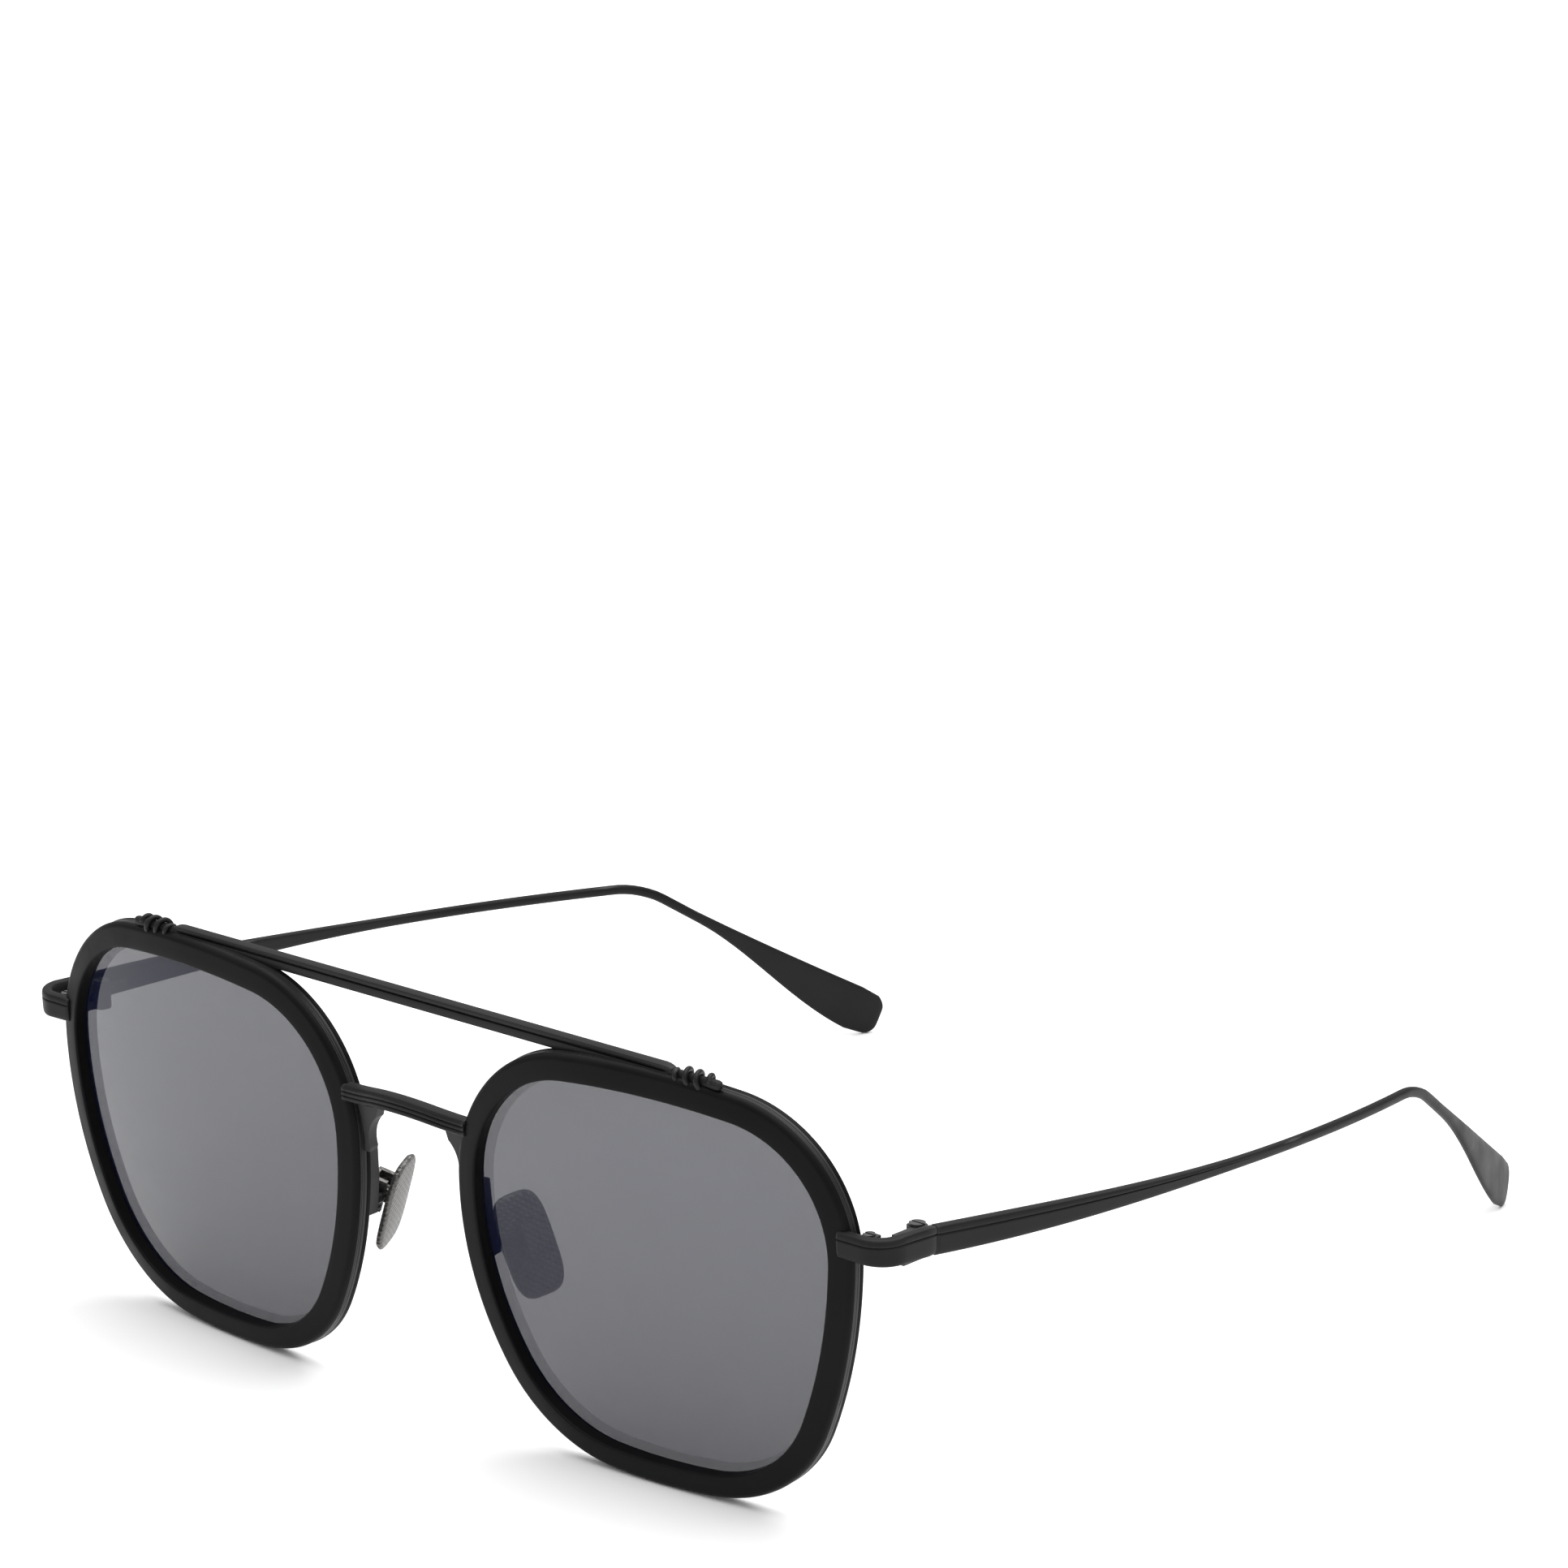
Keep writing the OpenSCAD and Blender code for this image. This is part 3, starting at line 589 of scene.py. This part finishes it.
# ---------------------------------------------------------------- end pieces and temples
def end_piece(side, node):
    """Strip out from the rim, round the elbow and back to the hinge."""
    path = [Vector((END_X, END_Y, END_Z)), Vector((END_X + 0.15, END_Y, END_Z))]
    corner = ARM_X - ELBOW
    path += [Vector((lerp(END_X + 0.4, corner, k / 5), END_Y, END_Z)) for k in range(6)]
    path += [Vector((corner + ELBOW * math.sin(a), END_Y + ELBOW * (1 - math.cos(a)), END_Z - 0.15 * a))
             for a in (math.radians(7.5 * k) for k in range(1, 13))]
    last = path[-1].copy()
    goal = Vector((ARM_X, BUTT_Y, STRIP_Z + 0.12))
    path += [last.lerp(goal, k / 5) for k in range(1, 6)]
    sections = []
    for i in range(len(path)):
        squeeze = 0.9 if i in (0, len(path) - 1) else 1.0
        tall = lerp(1.5, TEMPLE_HALF, i / (len(path) - 1))
        sections.append(strip_section(END_HALF * squeeze, tall * (0.5 + squeeze / 2), 5, 0.16))
    build("end_piece_" + label_of(side) + "_piece", strip(path, sections), "front", BLACK,
          side, sharp=50, replaces=(node,))


PLAN_LENGTH = STRAIGHT * math.cos(PITCH) + DROP * math.cos(TIP_PITCH) - 1
BLADE = PLAN_LENGTH - BLADE_LENGTH


def temple_edges(s):
    """Upper and lower edge of the temple at plan length s, with the paddle behind the ear."""
    body = lerp(TEMPLE_HALF, WIRE_HALF, ease(s / 56))
    upper = body + 1.9 * grow(s, BLADE - 6, 30, 1.4) - grow(s, BLADE + 21.5, 2.5, 2)
    lower = -body - (PADDLE - 3.1) * ease((s - BLADE + 4) / 24) + 1.6 * grow(s, BLADE + 21, 3, 2)
    return upper, lower


def temple_fall(s):
    """Drop of the centre line at plan length s: a straight run, the ear bend, then a steeper run."""
    turn = TIP_PITCH - PITCH
    s1 = STRAIGHT - EAR_BEND * math.tan(turn / 2)
    s2 = s1 + EAR_BEND * turn
    straight = min(s, s1) * math.tan(PITCH)
    bent = PITCH + (min(max(s, s1), s2) - s1) / EAR_BEND
    drop = EAR_BEND * (math.cos(PITCH) - math.cos(bent)) / math.cos(PITCH)
    return straight + drop + max(0.0, s - s2) * math.tan(TIP_PITCH)


def temple(side, node, body):
    """One strip from the hinge to the tip: grooved shaft, round wire at the ear bend, flat paddle."""
    path, sections = [], []
    stations = [0.0, 0.12] + [0.6 + k * 1.2 for k in range(int((PLAN_LENGTH - 2) / 1.2))]
    stations += [PLAN_LENGTH - r for r in (1.2, 0.8, 0.45, 0.2, 0.05, 0.0)]
    for s in sorted(set(stations)):
        a = s / BOW_RADIUS - BOW_START
        upper, lower = temple_edges(s)
        shift = (upper + lower) / 2
        path.append(Vector((
            ARM_X + BOW_RADIUS * (math.cos(a) - math.cos(BOW_START)),
            BUTT_Y + 0.14 + BOW_RADIUS * (math.sin(a) + math.sin(BOW_START)) + shift * math.sin(TIP_PITCH),
            STRIP_Z + 0.05 - temple_fall(s) + shift * math.cos(TIP_PITCH))))
        from_tip = min(1.0, PLAN_LENGTH - s)
        tail = max(0.12, math.sqrt(1 - (1 - from_tip) ** 2))
        flat = ease((s - BLADE + 8) / BLADE_LENGTH)
        thick = lerp(lerp(END_HALF, 0.6, ease(s / 56)), 0.45, flat) * (0.92 if s == 0 else 1)
        power = lerp(lerp(5.0, 2.2, ease((s - 20) / 50)), 3.2, flat)
        groove = 0.16 * (1 - ease((s - 38) / 22))
        half_tall = (upper - lower) / 2 * (0.7 + 0.3 * tail)
        sections.append(strip_section(thick * (0.4 + 0.6 * tail), half_tall, power, groove))
    build("temple_" + label_of(side) + "_piece", strip(path, sections), body, BLACK, side,
          sharp=55, replaces=(node,))


# ---------------------------------------------------------------- nose pads
PAD_TURNED = Matrix.Rotation(PAD_FLARE, 3, "Y") @ Matrix.Rotation(PAD_TURN, 3, "Z")


def nose_pad(side, node, body):
    """Rounded metal pad, crowned towards the nose, with a softened rim and its lug behind."""
    def at(x, y, z):
        return PAD_AT + PAD_TURNED @ Vector((x, y, z))

    def squared(wave):
        return math.copysign(abs(wave) ** PAD_SQUARENESS, wave)

    def around(scale, y):
        ring = []
        for k in range(96):
            a = 2 * math.pi * k / 96
            x = PAD_WIDTH / 2 * squared(math.cos(a)) * scale
            z = PAD_LENGTH / 2 * squared(math.sin(a)) * scale
            ring.append(at(x, y, z - PAD_DROP))
        return ring

    def lug_ring(x, y, z):
        return [at(sx * x, y, sz * z) for sx, sz in ((-1, -1), (-1, 1), (1, 1), (1, -1))]
    face = PAD_BACK + PAD_THICK
    rings = [around(k / 12, face + 0.28 * (1 - (k / 12) ** 2) - 0.25) for k in range(1, 12)]
    rings += [around(scale, face - depth)
              for scale, depth in ((0.955, 0.25), (0.985, 0.36), (1.0, 0.55), (0.985, 0.78))]
    rings += [around(0.95, PAD_BACK + 0.05), around(0.9, PAD_BACK)]
    rings += [around(k / 8, PAD_BACK) for k in range(6, 0, -1)]
    build("nose_pad_" + label_of(side) + "_piece", rings, body, PAD, side, sharp=50,
          replaces=(node,))
    lug = [lug_ring(0.58, y, 0.68) for y in (PAD_BACK + 0.2, 0.5, 0.2)]
    lug += [lug_ring(0.5, -0.3, 0.6), lug_ring(0.4, -0.52, 0.3)]
    build("pad_lug_" + label_of(side), lug, body, PAD, side)


for side, label in ((1, "left"), (-1, "right")):
    swept_ring("rim_" + label + "_piece", RIM_SECTION, ACETATE, side, "rim_" + label)
    swept_ring("eyewire_" + label + "_piece", band_section(), BAND, side, "eyewire_" + label)
    lens(side, "lens_" + label)
    brow_coil(side, "brow_coil_" + label)
    end_piece(side, "end_piece_" + label)
    temple(side, "temple_" + label, label + "_temple")
    nose_pad(side, "nose_pad_" + label, label + "_pad")
brow_bar()
bridge()

# ---------------------------------------------------------------- small machined pieces keep their CAD shape
KEPT = {"bridge_foot": BLACK, "pad_arm": BLACK, "rim_lock": BLACK, "rim_lock_screw": SCREW,
        "hinge_front": BLACK, "hinge_rear": BLACK, "hinge_screw": SCREW, "pad_box": PAD, "pad_screw": SCREW}
for stem, material in KEPT.items():
    for label in ("left", "right"):
        obj = frame["nodes"][stem + "_" + label]
        for place in obj.material_slots:
            place.link = "OBJECT"
            place.material = material
        bevel = obj.modifiers.new("soft_edges", "BEVEL")
        bevel.width = SOFT_EDGE
        bevel.segments = 2
        bevel.limit_method = "ANGLE"
        bevel.angle_limit = math.radians(40)


# ---------------------------------------------------------------- floor, light and camera
def floor():
    """Large pale table top under the sunglasses."""
    bpy.ops.mesh.primitive_plane_add(size=6)
    obj = bpy.context.object
    obj.name = "floor"
    material, nodes, links, shader = node_setup("studio_floor")
    colour = ramp(nodes, links, noise(nodes, links, 2.0), (0.93, 0.93, 0.93), (0.95, 0.95, 0.95))
    links.new(colour, shader.inputs["Base Color"])
    shader.inputs["Roughness"].default_value = 0.9
    shader.inputs["Specular IOR Level"].default_value = 0.1
    obj.data.materials.append(material)


def area_light(name, at, aim, size, power):
    """Rectangular light at a point, aimed at another."""
    data = bpy.data.lights.new(name, "AREA")
    data.shape = "RECTANGLE"
    data.size, data.size_y = size
    data.energy = power
    obj = bpy.data.objects.new(name, data)
    bpy.context.collection.objects.link(obj)
    obj.location = at
    obj.rotation_euler = (Vector(aim) - Vector(at)).to_track_quat("-Z", "Y").to_euler()


def studio():
    """Bright even surroundings, darker towards the horizon, with one large soft light overhead."""
    world = bpy.data.worlds.new("studio")
    bpy.context.scene.world = world
    world.use_nodes = True
    nodes, links = world.node_tree.nodes, world.node_tree.links
    back = nodes["Background"]
    coords = nodes.new("ShaderNodeTexCoord")
    split = nodes.new("ShaderNodeSeparateXYZ")
    links.new(coords.outputs["Generated"], split.inputs[0])
    sky = nodes.new("ShaderNodeValToRGB")
    sky.color_ramp.elements[0].position = 0.0
    sky.color_ramp.elements[0].color = (0.3, 0.3, 0.31, 1)
    sky.color_ramp.elements[1].position = 0.8
    sky.color_ramp.elements[1].color = (1, 1, 1, 1)
    links.new(split.outputs["Z"], sky.inputs["Fac"])
    links.new(sky.outputs["Color"], back.inputs["Color"])
    back.inputs["Strength"].default_value = 1.0
    area_light("overhead", (0.1, 0.15, 1.1), (0, 0, 0), (1.4, 1.4), 16)
    scene = bpy.context.scene
    scene.view_settings.view_transform = "Standard"
    scene.view_settings.look = "None"


def camera():
    """The picture's viewing angle, aimed a little beside the middle of the sunglasses' box."""
    azimuth, elevation, roll = math.radians(CAM_AZ), math.radians(CAM_EL), math.radians(CAM_ROLL)
    level = math.cos(elevation)
    back = Vector((math.sin(azimuth) * level, -math.cos(azimuth) * level, math.sin(elevation)))
    right = Vector((math.cos(azimuth), math.sin(azimuth), 0))
    up = back.cross(right)
    right, up = right * math.cos(roll) + up * math.sin(roll), up * math.cos(roll) - right * math.sin(roll)
    middle = (Vector(cad_box[0]) + Vector(cad_box[1])) / 2
    data = bpy.data.cameras.new("camera")
    data.sensor_width = 36
    data.lens = CAM_LENS
    data.dof.use_dof = False
    data.clip_start = 0.01
    obj = bpy.data.objects.new("camera", data)
    bpy.context.collection.objects.link(obj)
    place = middle + right * CAM_ASIDE + up * CAM_RAISE + back * CAM_DISTANCE
    obj.matrix_world = Matrix((right, up, back)).transposed().to_4x4()
    obj.location = place
    bpy.context.scene.camera = obj


CAM_AZ, CAM_EL, CAM_ROLL, CAM_LENS = 41.4, 15.58, 0.03, 129.84
CAM_ASIDE, CAM_RAISE, CAM_DISTANCE = -0.00458, 0.03431, 0.70734
floor()
studio()
camera()
